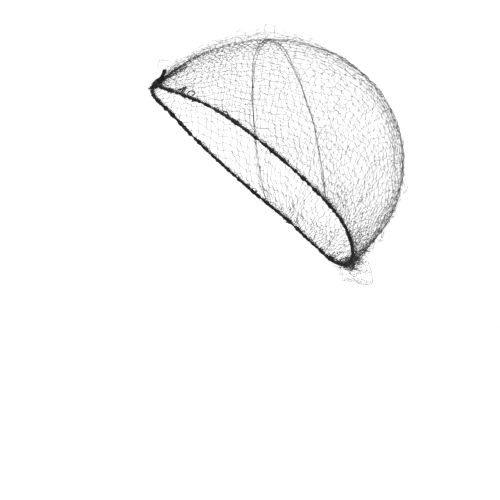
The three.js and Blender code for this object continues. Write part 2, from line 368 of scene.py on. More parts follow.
# The floor, the light and the camera, which sees the origin at a pixel of its frame.
FLOOR_HEIGHT = -0.215
FLOOR_RADIUS = 11.0
FLOOR_COLOUR = (0.93, 0.93, 0.93, 1)
WORLD_STRENGTH = 1.12
LIGHTS = [
    # name, place, size, power
    ("key", (1.3, -1.2, 1.5), 1.2, 16),
    ("fill", (0.6, 1.6, 0.9), 1.4, 8),
]
LIGHT_TARGET = (0, 0, 0.02)
CAMERA_AZIMUTH = math.radians(73)
CAMERA_DISTANCE = 5.0
PIXELS_PER_METRE = 1400
FRAME_PIXELS = 500
ORIGIN_PIXEL = (253, 175)


def unit_vectors(vectors):
    return vectors / np.linalg.norm(vectors, axis=-1, keepdims=True)


def smoothstep(x, low, high):
    t = np.clip((x - low) / (high - low), 0, 1)
    return t * t * (3 - 2 * t)


def interpolated(x, places, rows):
    """Rows of numbers that are given at places, read off at x."""
    return np.stack([np.interp(x, places, column) for column in rows.T], axis=-1)


def wound(turns, *tables):
    """The angles of a winding along a line, and tables of rows along the line, read off there."""
    index = np.arange(len(tables[0]))
    position = np.linspace(0, index[-1], turns * 8 + 1)
    angle = np.linspace(0, 2 * np.pi * turns, len(position))[:, None]
    return angle, *(interpolated(position, index, rows) for rows in tables)


def cubic(p, start, end, leaving, arriving):
    """A cubic from start to end with the given slopes there, for p from 0 to 1."""
    curve = start + (end - start) * (3 * p**2 - 2 * p**3)
    return curve + leaving * (p**3 - 2 * p**2 + p) + arriving * (p**3 - p**2)


def flat(grids):
    return np.concatenate([grid.reshape(-1, 3) for grid in grids])


def scattered(points, size):
    return points + random.normal(size=points.shape) * size


# The surface of the head and the net's places on it.


def middle_unit(angle):
    return np.stack([np.zeros_like(angle), np.cos(angle), np.sin(angle)], axis=-1)


def tilted(points, tilt=HEAD_TILT):
    c, s = math.cos(tilt), math.sin(tilt)
    x, y, z = np.moveaxis(points, -1, 0)
    return np.stack([x, c * y - s * z, s * y + c * z], axis=-1)


forehead_unit = middle_unit(np.array(FOREHEAD_ANGLE))
nape_unit = middle_unit(np.array(NAPE_ANGLE))
head_centre = -tilted((forehead_unit + nape_unit) / 2 * HEAD_HALF_SIZE)
opening_line = nape_unit - forehead_unit
opening_up = -unit_vectors(np.cross(opening_line, [1.0, 0, 0]))


def bow_at(along):
    """A smooth curve through the rows of the edge's bow, level at both ends."""
    times, values = np.array(EDGE_BOW).T
    rises = np.diff(values) / np.diff(times)
    slopes = np.concatenate([[0], (rises[1:] + rises[:-1]) / 2, [0]])
    along = np.clip(along, 0, 1)
    k = np.clip(np.searchsorted(times, along, side="right"), 1, len(times) - 1)
    width = times[k] - times[k - 1]
    p = (along - times[k - 1]) / width
    return cubic(p, values[k - 1], values[k], width * slopes[k - 1], width * slopes[k])


def height_above_edge(unit):
    from_forehead = unit - forehead_unit
    along = from_forehead @ opening_line / (opening_line @ opening_line)
    return from_forehead @ opening_up - bow_at(along)


def puff_height(unit):
    height = np.zeros(unit.shape[:-1])
    for angle, side, share, spread in PUFFS:
        a, s = math.radians(angle), math.radians(side)
        centre = np.array([math.sin(s), math.cos(a) * math.cos(s), math.sin(a) * math.cos(s)])
        distance = np.linalg.norm(unit - centre, axis=-1)
        height += share * np.exp(-((distance / spread) ** 2))
    return PUFF_HEIGHT * height


def fold_height(unit):
    angle = np.arctan2(unit[..., 2], unit[..., 1])
    angles, shares = np.array(FOLD_PROFILE).T
    profile = np.interp(np.degrees(angle), angles, shares)
    highest = np.zeros(unit.shape[:-1])
    for number, (side, share, width, wander) in enumerate(FOLDS):
        crest = side + wander * np.sin(2.3 * angle + 1.7 * number)
        highest = np.maximum(highest, share * np.exp(-(((unit[..., 0] - crest) / width) ** 2)))
    return FOLD_HEIGHT * profile * highest


def crown_drop(unit):
    from_crown = np.degrees(np.arctan2(unit[..., 2], unit[..., 1])) - CROWN_ANGLE
    return CROWN_DROP * np.exp(-((from_crown / CROWN_SPREAD) ** 2)) * (1 - unit[..., 0] ** 2)


def slack_height(unit):
    taper = smoothstep(height_above_edge(unit), 0, TAPER_SHARE)
    return taper * (puff_height(unit) + FOLD_CARRIED * fold_height(unit) - crown_drop(unit))


def head_normal(unit):
    return unit_vectors(tilted(unit / HEAD_HALF_SIZE))


def over_head(unit, height):
    lift = head_normal(unit) * np.asarray(height)[..., None]
    return tilted(unit * HEAD_HALF_SIZE) + head_centre + lift


def unit_below(points):
    """The place on the unit sphere that lies under a point near the head."""
    return unit_vectors(tilted(points - head_centre, -HEAD_TILT) / HEAD_HALF_SIZE)


def make_edge_table(samples=2000):
    along = (1 - np.cos(np.pi * np.arange(samples + 1) / samples)) / 2
    points = forehead_unit + along[:, None] * opening_line + bow_at(along)[:, None] * opening_up
    points[:, 0] = np.sqrt(np.maximum(0, 1 - (points**2).sum(axis=1)))
    points = unit_vectors(points)
    lengths = np.linalg.norm(np.diff(points, axis=0), axis=1)
    shares = np.concatenate([[0], np.cumsum(lengths)])
    return shares / shares[-1], points


edge_shares, edge_points = make_edge_table()


def half_edge(share):
    """The left half of the net's edge, at a share of the way from forehead to nape."""
    return unit_vectors(interpolated(share, edge_shares, edge_points))


def whole_edge(share):
    """The net's edge at a share of the way round, from the forehead over the left side."""
    on_left = share <= 0.5
    unit = half_edge(np.where(on_left, 2 * share, 2 - 2 * share))
    unit[..., 0] *= np.where(on_left, 1, -1)
    return unit


def column_unit(angle, foot, across):
    """A point of the arc that a column of meshes follows from its left to its right foot."""
    top = middle_unit(angle)
    foot_unit = half_edge(foot)
    up = top - foot_unit
    up[..., 0] = 0
    up = unit_vectors(up)
    radius = (top * up).sum(-1)
    centre = top - up * radius[..., None]
    turn = np.arctan2(foot_unit[..., 0], ((foot_unit - centre) * up).sum(-1))
    point = centre + up * (radius * np.cos(turn * across))[..., None]
    point[..., 0] += radius * np.sin(turn * across)
    return point


# Numbers, meshes and curves.


def make_noise(wavelength, parts=1, waves=14):
    """A smooth random field of about -1 to 1, with a number of parts."""
    directions = unit_vectors(random.normal(size=(parts, waves, 3)))
    numbers = 2 * np.pi / (wavelength * random.uniform(0.7, 1.5, (parts, waves, 1)))
    phases = random.uniform(0, 2 * np.pi, (parts, waves))

    def field(points):
        angles = np.einsum("...k,pwk->...pw", points, directions * numbers) + phases
        values = math.sqrt(2 / waves) * np.sin(angles).sum(axis=-1)
        return values if parts > 1 else values[..., 0]

    return field


def smooth_curve(points, steps):
    """A smooth curve through points, with a number of steps from each to the next."""
    points = np.asarray(points, float)[:, None]
    slopes = np.gradient(points, axis=0)
    t = np.linspace(0, 1, steps, endpoint=False)[:, None]
    curve = cubic(t, points[:-1], points[1:], slopes[:-1], slopes[1:])
    return np.concatenate([curve.reshape(-1, 3), points[-1]])


def tubes(points, radii, normals, sides=THREAD_SIDES, closed=False):
    """One tube along each row of points (rows, points, 3), open at its ends."""
    if closed:
        tangents = np.roll(points, -1, axis=1) - np.roll(points, 1, axis=1)
    else:
        tangents = np.gradient(points, axis=1)
    tangents = unit_vectors(tangents)
    right = unit_vectors(np.cross(np.broadcast_to(normals, points.shape), tangents) + 1e-12)
    up = np.cross(tangents, right)
    turns = 2 * np.pi * np.arange(sides) / sides
    offsets = right[..., None, :] * np.cos(turns)[:, None] + up[..., None, :] * np.sin(turns)[:, None]
    radii = np.broadcast_to(radii, points.shape[:2])
    vertices = points[..., None, :] + offsets * radii[..., None, None]
    rows, count = points.shape[:2]
    steps = count if closed else count - 1
    row, step, side = np.ogrid[:rows, :steps, :sides]

    def corner(step, side):
        return (row * count + step % count) * sides + side % sides

    near, far = corner(step, side), corner(step + 1, side)
    quads = [near, corner(step, side + 1), corner(step + 1, side + 1), far]
    quads = np.stack(np.broadcast_arrays(*quads), axis=-1)
    return vertices.reshape(-1, 3), quads.reshape(-1, 4)


def copies(template, faces, frames, places):
    """A small mesh once at each place, turned and sized by that place's 3 x 3 frame."""
    vertices = template[None] @ frames + places[:, None]
    shifted = faces[None] + len(template) * np.arange(len(places))[:, None, None]
    return vertices.reshape(-1, 3), shifted.reshape(-1, 4)


def add_piece(name, parts, slot, *nodes):
    """Joins (vertices, quads) pairs into one piece that stands for CAD nodes."""
    starts = np.cumsum([0] + [len(vertices) for vertices, _ in parts])
    vertices = np.concatenate([vertices for vertices, _ in parts]).astype(np.float32)
    quads = np.concatenate([quads + start for (_, quads), start in zip(parts, starts)])
    mesh = bpy.data.meshes.new(name)
    mesh.vertices.add(len(vertices))
    mesh.vertices.foreach_set("co", vertices.ravel())
    mesh.loops.add(quads.size)
    mesh.loops.foreach_set("vertex_index", quads.astype(np.int32).ravel())
    mesh.polygons.add(len(quads))
    mesh.polygons.foreach_set("loop_start", np.arange(0, quads.size, 4, dtype=np.int32))
    mesh.polygons.foreach_set("use_smooth", np.ones(len(quads), dtype=bool))
    mesh.update(calc_edges=True)
    mesh.materials.append(materials[slot])
    piece = bpy.data.objects.new(name, mesh)
    bpy.context.collection.objects.link(piece)
    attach(piece, "root")
    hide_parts(*nodes)


# Materials.


def set_inputs(node, values):
    for name, value in values.items():
        node.inputs[name].default_value = value


def thread_material(name, dark, light, roughness, grain, shine):
    """Spun thread: lighter fibres along a dark strand, with a fine raised twist."""
    material = bpy.data.materials.new(name)
    material.use_nodes = True
    nodes, links = material.node_tree.nodes, material.node_tree.links
    shader = nodes["Principled BSDF"]
    place = nodes.new("ShaderNodeTexCoord")
    patches = nodes.new("ShaderNodeTexNoise")
    set_inputs(patches, {"Scale": grain, "Detail": 6})
    links.new(place.outputs["Object"], patches.inputs["Vector"])
    ramp = nodes.new("ShaderNodeValToRGB")
    for stop, position, colour in zip(ramp.color_ramp.elements, (0.35, 0.7), (dark, light)):
        stop.position = position
        stop.color = (*colour, 1)
    links.new(patches.outputs["Fac"], ramp.inputs["Fac"])
    links.new(ramp.outputs["Color"], shader.inputs["Base Color"])
    rough = nodes.new("ShaderNodeMapRange")
    set_inputs(rough, {"To Min": roughness - 0.1, "To Max": roughness + 0.1})
    links.new(patches.outputs["Fac"], rough.inputs["Value"])
    links.new(rough.outputs["Result"], shader.inputs["Roughness"])
    twist = nodes.new("ShaderNodeTexWave")
    set_inputs(twist, {"Scale": grain * 3, "Distortion": 3})
    links.new(place.outputs["Object"], twist.inputs["Vector"])
    bump = nodes.new("ShaderNodeBump")
    set_inputs(bump, {"Strength": 0.4, "Distance": TWIST_HEIGHT})
    links.new(twist.outputs["Fac"], bump.inputs["Height"])
    links.new(bump.outputs["Normal"], shader.inputs["Normal"])
    set_inputs(shader, {"Specular IOR Level": shine, "Sheen Weight": shine / 4})
    return material


materials = {slot: thread_material(*values) for slot, *values in MATERIALS}


# The elastic's path.

knot_height = CAD_NET_STANDOFF + CAD_NET_WALL / 2 + CAD_CLEARANCE + KNOT_DEPTH / 2
elastic_drop = ELASTIC_DIAMETER / 2 + GATHER_HEIGHT + CAD_CLEARANCE


def path_length(points):
    return np.linalg.norm(np.diff(points, axis=-2), axis=-1).sum(axis=-1)


elastic_length = path_length(over_head(whole_edge(np.linspace(0, 1, 801)), CAD_NET_STANDOFF))


def elastic_place(share):
    """Centres, outward normals, downward and forward directions of the elastic."""
    share = np.asarray(share, float)
    step = 0.0004
    unit = whole_edge(share)
    normal = head_normal(unit)
    ahead, behind = (whole_edge(np.clip(share + way, 0, 1)) for way in (step, -step))
    tangent = unit_vectors(tilted((ahead - behind) * HEAD_HALF_SIZE))
    down = unit_vectors(np.cross(tangent, normal))
    from_knot = elastic_length * np.minimum(share, 1 - share)
    climb = np.exp(-((from_knot / KNOT_CLIMB_LENGTH) ** 2))
    height = CAD_NET_STANDOFF + (knot_height - CAD_NET_STANDOFF) * climb
    centre = over_head(unit, height) + down * (elastic_drop - KNOT_LIFT * climb**3)[..., None]
    return centre, normal, down, tangent


share_table = np.linspace(0, 1, 2001)
share_table_units = whole_edge(share_table)


def nearest_share(unit):
    """The share of the way round the edge that lies nearest to each place."""
    distance = np.linalg.norm(unit[:, None] - share_table_units[None], axis=-1)
    return share_table[distance.argmin(axis=1)]


# The net.


def seam_gap(across):
    """How far apart the seam's two threads lie."""
    return SEAM_NARROW + SEAM_SPREAD * np.exp(-((across / SEAM_SPREAD_SHARE) ** 4))


class Panel:
    """A panel of the net. Along runs from 0 at its front to 1 at its back, and across from -1
    at the right edge to 1 at the left edge. Its open end lies on the elastic."""

    def __init__(self, angles, feet, columns, open_end, zigzag):
        self.angles, self.feet, self.columns = angles, feet, columns
        self.open_end, self.zigzag = open_end, zigzag

    def unit(self, along, across):
        along, across = np.broadcast_arrays(along, across)
        angle, foot = (start + (end - start) * along for start, end in (self.angles, self.feet))
        point = column_unit(angle, foot, across)
        end_foot = self.feet[self.open_end]
        reach = np.abs(across)
        edge = half_edge(end_foot * reach if self.open_end == 0 else 1 - (1 - end_foot) * reach)
        edge[..., 0] *= np.sign(across)
        closeness = 1 - smoothstep(np.abs(along - self.open_end), 0, 0.12)
        return unit_vectors(point + (edge - point) * closeness[..., None])

    def lengths(self, along):
        unit = self.unit(np.asarray(along)[:, None], np.linspace(-1, 1, 121))
        return path_length(over_head(unit, NET_STANDOFF))


front_panel = Panel(
    (FOREHEAD_ANGLE, SEAM_ANGLE), (FOREHEAD_FOOT_SHARE, SEAM_FOOT_SHARE), FRONT_COLUMNS, 0, FRONT_ZIGZAG
)
back_panel = Panel(
    (SEAM_ANGLE, NAPE_ANGLE), (SEAM_FOOT_SHARE, NAPE_FOOT_SHARE), BACK_COLUMNS, 1, BACK_ZIGZAG
)
seam_length = front_panel.lengths([1.0])[0]

drift = make_noise(DRIFT_LENGTH, parts=3)
jitter = make_noise(JITTER_LENGTH, parts=3)
loft = make_noise(LOFT_LENGTH)
sway = make_noise(SWAY_LENGTH, parts=2)


def bunched(points):
    """Net drawn in to a rope along the middle, just above the knot."""
    from_knot = np.linalg.norm(points - over_head(forehead_unit, 0.0), axis=-1)
    pull = smoothstep(from_knot, *ROPE_START) * (1 - smoothstep(from_knot, *ROPE_END))
    pull *= np.exp(-((points[..., 0] / ROPE_REACH) ** 2))
    drawn = points.copy()
    drawn[..., 0] *= 1 - ROPE_PULL * pull
    return drawn


def net_place(unit):
    """Where the net's knots lie over the head: near their regular places, but never on them."""
    normal = head_normal(unit)
    base = bunched(over_head(unit, NET_STANDOFF + slack_height(unit)))
    free = smoothstep(height_above_edge(unit), 0.0, FREE_HEIGHT)[..., None]
    stray = DRIFT * drift(base) + JITTER * jitter(base) + KNOT_SCATTER * random.normal(size=base.shape)
    stray -= (stray * normal).sum(-1, keepdims=True) * normal
    lift = (LOFT * np.abs(loft(base)))[..., None] * normal
    return base + free * (stray + lift)


def seam_side_along(panel, across):
    """How far a panel's last column stays from the seam, as a share of the panel."""
    end = 1 - panel.open_end
    step = 0.01 if end == 0 else -0.01
    here = over_head(panel.unit(float(end), across), 0.0)
    there = over_head(panel.unit(end + step, across), 0.0)
    width = np.linalg.norm(here - there, axis=-1)
    return end + step * seam_gap(across) / 2 / width


def panel_strands(panel):
    """The starts and ends of a panel's strands, its knots, and the places on the elastic where
    strands end, as shares of the way round it."""
    along = np.linspace(0, 1, panel.columns + 1)
    lengths = panel.lengths(along)
    spacing = ROW_STRETCH * MESH_SIDE * (lengths / seam_length) ** BUNCHING
    half_rows = int((lengths / spacing).max() / 2) + 1
    rows = np.arange(-half_rows, half_rows + 1)
    across = 2 * rows * (spacing / lengths)[:, None]
    free = np.abs(across) < 1
    turn = np.where(np.arange(len(along)) % 2, 1, -1) * panel.zigzag / lengths
    across = np.clip(across + turn[:, None] * np.exp(-((across / 0.7) ** 4)), -1, 1)
    along = np.repeat(along[:, None], len(rows), axis=1)
    seam_column, open_column = panel.open_end - 1, -panel.open_end
    along[seam_column] = seam_side_along(panel, across[seam_column])
    free[open_column] = False
    units = panel.unit(along, across)
    places = net_place(units)
    shares = np.zeros(free.shape)
    shares[~free] = nearest_share(units[~free])
    centre = elastic_place(shares[~free])[0]
    places[~free] = scattered(centre, HEM_SCATTER)
    starts, ends, hems = [], [], []
    for first, second in (np.s_[:, :-1], np.s_[:, 1:]), (np.s_[:-1], np.s_[1:]):
        joined = free[first] | free[second]
        starts.append(places[first][joined])
        ends.append(places[second][joined])
        for a, b in ((first, second), (second, first)):
            hems.append(shares[b][free[a] & ~free[b]])
    return np.concatenate(starts), np.concatenate(ends), places[free], np.concatenate(hems)


def strand_lines(starts, ends):
    """Each strand as a row of points. Thread that is longer than its way bows to a side."""
    chord = ends - starts
    length = np.linalg.norm(chord, axis=-1)
    middle = (starts + ends) / 2
    normals = head_normal(unit_below(middle))
    thread = MESH_SIDE * random.uniform(0.95, 1.05, len(length))
    bow = SLACK_SHOWN * ARC_BOW * np.sqrt(np.maximum(0, thread**2 - length**2))
    bow = np.minimum(bow, LONGEST_BOW * random.uniform(0.5, 1.1, len(length)))
    leaning = sway(middle) + 0.35 * random.normal(size=(len(length), 2))
    across = unit_vectors(np.cross(chord, normals) + 1e-12)
    side = 0.7 * np.sin(2.2 * leaning[:, :1]) - 0.9 * across[:, 2:]  # it also hangs down
    out = 0.25 + 0.4 * np.abs(leaning[:, 1:])
    way = unit_vectors(across * side + normals * out)
    share = np.linspace(0, 1, STRAND_SEGMENTS + 1)[None, :, None]
    wave = random.normal(size=(len(length), 1, 1)) * 0.05 * length[:, None, None]
    lines = starts[:, None] + chord[:, None] * share
    lines = lines + (way * bow[:, None])[:, None] * 4 * share * (1 - share)
    return lines + across[:, None] * wave * np.sin(2 * np.pi * share), normals


def ring_template(segments=7, thickness=0.62):
    turn = 2 * np.pi * np.arange(segments) / segments
    circle = np.stack([np.cos(turn), np.sin(turn), 0 * turn], -1)
    return tubes(circle[None], thickness, np.array([0, 0, 1.0]), closed=True)


def net_knots(places, size=1):
    """A small hitch round the thread at each knot."""
    count = len(places)
    normals = head_normal(unit_below(places))
    sideways = unit_vectors(np.cross(normals, random.normal(size=(count, 3))))
    frames = np.stack([sideways, normals, np.cross(sideways, normals)], axis=1)
    sizes = size * NET_KNOT_RADIUS * random.uniform(0.75, 1.3, (count, 3))
    return copies(*ring_template(), frames * sizes[..., None], places)


def net_parts(starts, ends, knots):
    lines, normals = strand_lines(starts, ends)
    radii = THREAD_DIAMETER / 2 * random.uniform(0.85, 1.15, (len(lines), 1))
    radii = radii * np.where(random.random((len(lines), 1)) < 0.04, 1.5, 1)
    return [tubes(lines, radii, normals[:, None]), net_knots(knots)]


def make_net():
    """Adds the net, and returns its strands and the places on the elastic where strands end."""
    starts, ends, knots, front_hems = panel_strands(front_panel)
    add_piece("front_net", net_parts(starts, ends, knots), "net_thread", "net_front_panel")
    starts, ends, knots, back_hems = panel_strands(back_panel)
    for name, side in (("back_net_left", 1), ("back_net_right", -1)):
        mine = side * (starts + ends)[:, 0] >= 0
        knot = side * knots[:, 0] >= 0
        parts = net_parts(starts[mine], ends[mine], knots[knot])
        add_piece(name, parts, "net_thread", "net_back_panel")
    return starts, ends, np.concatenate([front_hems, back_hems])


# Slack of the net, as loops that stand off it.


def over_middle(angles, side, heights):
    """Places over the head, at angles from the back over the crown and to a side."""
    angles, side, heights = np.broadcast_arrays(np.radians(angles), side, heights)
    rest = np.sqrt(1 - side**2)
    unit = np.stack([side, np.cos(angles) * rest, np.sin(angles) * rest], axis=-1)
    return over_head(unit, NET_STANDOFF + slack_height(unit) + heights)


def crest_loops():
    """Rows of slack meshes that stand up along the middle."""
    angles, shares = np.array(FOLD_PROFILE).T
    starts, ends, knots = [], [], []
    for side, height_share in CREST_LOOPS:
        places = CREST_ANGLES + random.uniform(-0.8, 0.8, len(CREST_ANGLES))
        height = FOLD_HEIGHT * height_share * np.interp(places, angles, shares)
        height = height * random.uniform(0.6, 1.05, len(places)) * (1 - np.abs(CREST_LEVELS) / 2) ** 0.7
        sides = side + 0.035 * np.sin(places / 9) + CREST_LEVEL_WIDTH * CREST_LEVELS
        grid = over_middle(places + random.uniform(-1, 1, height.shape), sides, height)
        grid = scattered(grid, CREST_SCATTER)
        starts += [grid[1:-1, :-1], grid[:-1]]
        ends += [grid[1:-1, 1:], grid[1:]]
        knots.append(grid[1:-1])
    lines, normals = strand_lines(flat(starts), flat(ends))
    return [tubes(lines, FINE_THREAD_DIAMETER / 2, normals[:, None]), net_knots(flat(knots), 0.7)]


def looped(first, last, way, across, points):
    """Threads from first to last that leave the straight line in a twisted loop."""
    t = np.linspace(0, 1, points)[None, :, None]
    return first + (last - first) * t + way * np.sin(np.pi * t) + across * np.sin(2 * np.pi * t)


def gathered_loops(starts, ends):
    """Slack meshes near the elastic, behind the ears and at the nape, folded up in loops."""
    middle = (starts + ends) / 2
    unit = unit_below(middle)
    wanted = 0.85 * np.exp(-((height_above_edge(unit) / GATHER_REACH) ** 2))
    wanted *= smoothstep(middle[:, 1], *GATHER_START)
    chosen = np.flatnonzero(random.random(len(middle)) < wanted)
    first, last = starts[chosen][:, None], ends[chosen][:, None]
    normal = head_normal(unit[chosen])
    way = unit_vectors(random.normal(size=normal.shape) + 0.6 * normal)[:, None]
    other = unit_vectors(random.normal(size=normal.shape))[:, None]
    reach = random.uniform(*GATHER_HEIGHTS, (len(chosen), 1, 1))
    lines = looped(first, last, way * reach, 0.45 * other * reach, 8)
    return [tubes(lines, THREAD_DIAMETER / 2, normal[:, None]), net_knots(lines[:, 4], 1.15)]


def roped(line, threads=6):
    """Threads of the net drawn together along a line. They end one by one and part again."""
    share = np.linspace(0, 1, len(line))
    lines = []
    for reach in random.uniform(0.45, 1, threads):
        thread = interpolated(reach * share, share, line)
        parting = ROPE_SPREAD * (1 + 3 * (reach * share) ** 2)
        lines.append(thread + parting[:, None] * make_noise(ROPE_WAVE_LENGTH, parts=3)(thread))
    return tubes(np.stack(lines), THREAD_DIAMETER * 0.6, head_normal(unit_below(line))[None])


def front_ropes(links=22):
    """The net over the forehead, drawn together into ropes that run back from the knot."""
    middle, left = (np.array(rope) for rope in FRONT_ROPES)
    lines = []
    parts = []
    for angles, sides, heights in (middle.T, left.T, (left * [1, -1, 1]).T):
        line = smooth_curve(over_middle(angles, sides, heights / 1000), 8)
        knots = scattered(line[2:-9:3], CREST_SCATTER)
        parts += [roped(line), net_knots(knots, 1.2)]
        lines.append(line)
    for side_line in lines[1:]:
        place = 0.85 * random.random(links) ** 1.5
        shifted = np.clip(place * random.uniform(0.7, 1.15, links), 0, 1)
        starts = lines[0][(place * (len(lines[0]) - 1)).astype(int)]
        ends = side_line[(shifted * (len(side_line) - 1)).astype(int)]
        between, normals = strand_lines(starts, ends)
        parts.append(tubes(between, THREAD_DIAMETER / 2, normals[:, None]))
    return parts


def thin_bag(outline, hoops, thickness, knot_size):
    """A thin bag of slack net, from its outline on the middle plane and its hoops' sizes."""
    back, height = np.array(outline).T / 1000
    profile = np.stack([0 * back, back, height], axis=-1)
    middle = profile.mean(axis=0)
    grid = []
    for side, size in hoops:
        hoop = middle + (profile - middle) * size + [side / 1000, 0, BAG_SAG * (1 - size)]
        grid.append(scattered(hoop, BAG_SCATTER))
    grid = np.stack(grid)
    grid[..., 2] = np.maximum(grid[..., 2], LOWEST_KNOT)
    starts, ends = [grid[:, :-1], grid[:-1]], [grid[:, 1:], grid[1:]]
    lines, normals = strand_lines(flat(starts), flat(ends))
    lines[..., 2] = np.maximum(lines[..., 2], LOWEST_THREAD)
    knots = net_knots(grid.reshape(-1, 3), knot_size)
    return [tubes(lines, thickness / 2, normals[:, None]), knots]


def make_slack(starts, ends):
    parts = crest_loops() + front_ropes() + gathered_loops(starts, ends)
    parts += thin_bag(NAPE_BAG, NAPE_HOOPS, FINE_THREAD_DIAMETER, 0.6)
    parts += thin_bag(KNOT_BAG, KNOT_HOOPS, FINEST_THREAD_DIAMETER, 0.3)
    add_piece("slack_loops", parts, "net_thread", "net_front_panel", "net_back_panel")


# The seam over the crown: two threads, laced together.


def seam_lines(points=241):
    across = np.linspace(-1, 1, points)
    middle = back_panel.unit(0.0, across)
    base = over_head(middle, NET_STANDOFF + slack_height(middle) + SEAM_LIFT)
    normal = head_normal(middle)
    along = unit_vectors(np.gradient(base, axis=0))
    sideways = np.cross(along, normal)
    wander = SEAM_WANDER * make_noise(SEAM_WANDER_LENGTH)(base)[:, None] * (1 - np.abs(across[:, None]) ** 6)
    base = base + sideways * wander
    gap = seam_gap(across)[:, None] / 2
    ripple = [SEAM_RIPPLE * make_noise(SEAM_RIPPLE_LENGTH)(base)[:, None] for _ in range(2)]
    left, right = base + sideways * (gap + ripple[0]), base - sideways * (gap + ripple[1])
    thinning = 1 - SEAM_TAPER * smoothstep(np.abs(across), *SEAM_TAPER_SHARES)
    return left, right, normal, sideways, thinning


def make_seam():
    left, right, normal, sideways, thinning = seam_lines()
    radius = SEAM_THREAD_DIAMETER / 2
    parts = [tubes(line[None], radius * thinning[None], normal[None], 6) for line in (left, right)]
    tables = (left, right, (left + right) / 2, sideways, normal)
    angle, left, right, middle, sideways, normal = wound(SEAM_LACING_TURNS, *tables)
    reach = np.linalg.norm(left - right, axis=-1, keepdims=True) / 2 + radius
    lacing = middle + sideways * reach * np.cos(angle) + normal * 1.6 * radius * np.sin(angle)
    parts.append(tubes(lacing[None], THREAD_DIAMETER * 0.42, normal[None]))
    add_piece("crown_seam", parts, "net_thread", "crown_seam_thread")


# The elastic and the net that is gathered onto it.


def round_elastic(share, angle, radius):
    """Points round the elastic's centre line, at an angle from outwards to downwards."""
    centre, normal, down, _ = elastic_place(share)
    way = normal * np.cos(angle)[..., None] + down * np.sin(angle)[..., None]
    return centre + way * np.asarray(radius)[..., None]


elastic_start = ELASTIC_START / elastic_length
elastic_ends = (elastic_start, 1 - elastic_start)
radius_shares = np.linspace(*elastic_ends, 1801)
lump_places = elastic_place(radius_shares)[0]
from_knot_share = np.minimum(radius_shares, 1 - radius_shares)
elastic_radii = ELASTIC_RADIUS + ELASTIC_SWELL * smoothstep(from_knot_share, *ELASTIC_SWELL_SHARES)
for lump_height, lump_wavelength in ELASTIC_LUMPS:
    elastic_radii += lump_height * make_noise(lump_wavelength)(lump_places)


def elastic_radius(share):
    return np.interp(share, radius_shares, elastic_radii)


def winding(pitch, diameter, sides, direction, lift):
    turns = int(elastic_length / pitch)
    share = np.linspace(*elastic_ends, turns * 9 + 1)
    angle = direction * np.linspace(0, 2 * np.pi * turns, len(share))
    line = round_elastic(share, angle, elastic_radius(share) + lift)
    return tubes(line[None], diameter / 2, elastic_place(share)[3][None], sides)


def make_elastic():
    centre, normal, _, _ = elastic_place(radius_shares)
    parts = [tubes(centre[None], elastic_radii[None], normal[None], 10)]
    parts += [winding(*row) for row in ELASTIC_WINDINGS]
    add_piece("elastic_cord", parts, "elastic", "elastic_band")


def hem_rings(hems):
    """The net's last meshes, looped round the elastic."""
    angle = np.linspace(0, 2 * np.pi, 11)[None, :]
    count = len(hems)
    along = hems[:, None] + random.normal(size=(count, 1)) * HEM_LEAN / elastic_length
    tilt = random.normal(size=(count, 1)) * HEM_LEAN / elastic_length
    share = along + tilt * np.sin(angle + random.uniform(0, 6, (count, 1)))
    share = np.clip(share, *elastic_ends)
    radius = elastic_radius(share) + random.uniform(*HEM_LIFTS, (count, 1))
    rings = round_elastic(share, angle + 0 * share, radius)
    return tubes(rings, HEM_THREAD_RADIUS, elastic_place(share)[3])


def tufts(count=800):
    """Small loops of slack that stand off the elastic, mostly upwards."""
    where = random.uniform(*elastic_ends, (count, 1))
    t = np.linspace(0, 1, 9)[None, :]
    reach = random.gamma(1.6, 0.00052, (count, 1)).clip(*TUFT_HEIGHTS)
    width = random.uniform(0.3, 1.2, (count, 1)) * (0.0006 + reach)
    share = where + width * (t - 0.5 - 0.3 * np.sin(2 * np.pi * t)) / elastic_length
    share = np.clip(share, *elastic_ends)
    towards = random.normal(-1.35, 0.75, (count, 1)) + random.normal(0, 0.3, (count, 1)) * t
    radius = elastic_radius(share) + reach * np.sin(np.pi * t) - 0.0001
    return tubes(round_elastic(share, towards, radius), TUFT_THREAD_RADIUS, elastic_place(share)[3])


def strings(count=110):
    """Loose threads that run along the elastic in waves."""
    t = np.linspace(0, 1, 25)[None, :]
    length = random.uniform(*STRING_LENGTHS, (count, 1)) / elastic_length
    where = random.uniform(elastic_start, 1 - elastic_start - length, (count, 1))
    share = where + length * t
    rise = random.uniform(*STRING_HEIGHTS, (count, 1)) * np.sin(np.pi * t) ** 0.6
    turn = random.uniform(8, 22, (count, 1)) * t
    turn = turn + random.uniform(0, 6, (count, 1))
    rise = rise * (1 + 0.5 * np.sin(turn))
    towards = random.normal(-1.3, 0.5, (count, 1)) + 0 * t
    lines = round_elastic(share, towards, elastic_radius(share) + rise)
    return tubes(lines, THREAD_DIAMETER / 2, elastic_place(share)[1])


def make_hem(hems):
    parts = [hem_rings(hems), tufts(), strings(), tangles(), pleat()]
    parts += standing_loops() + nape_tangle()
    add_piece("gathered_hem", parts, "net_thread", "elastic_band")


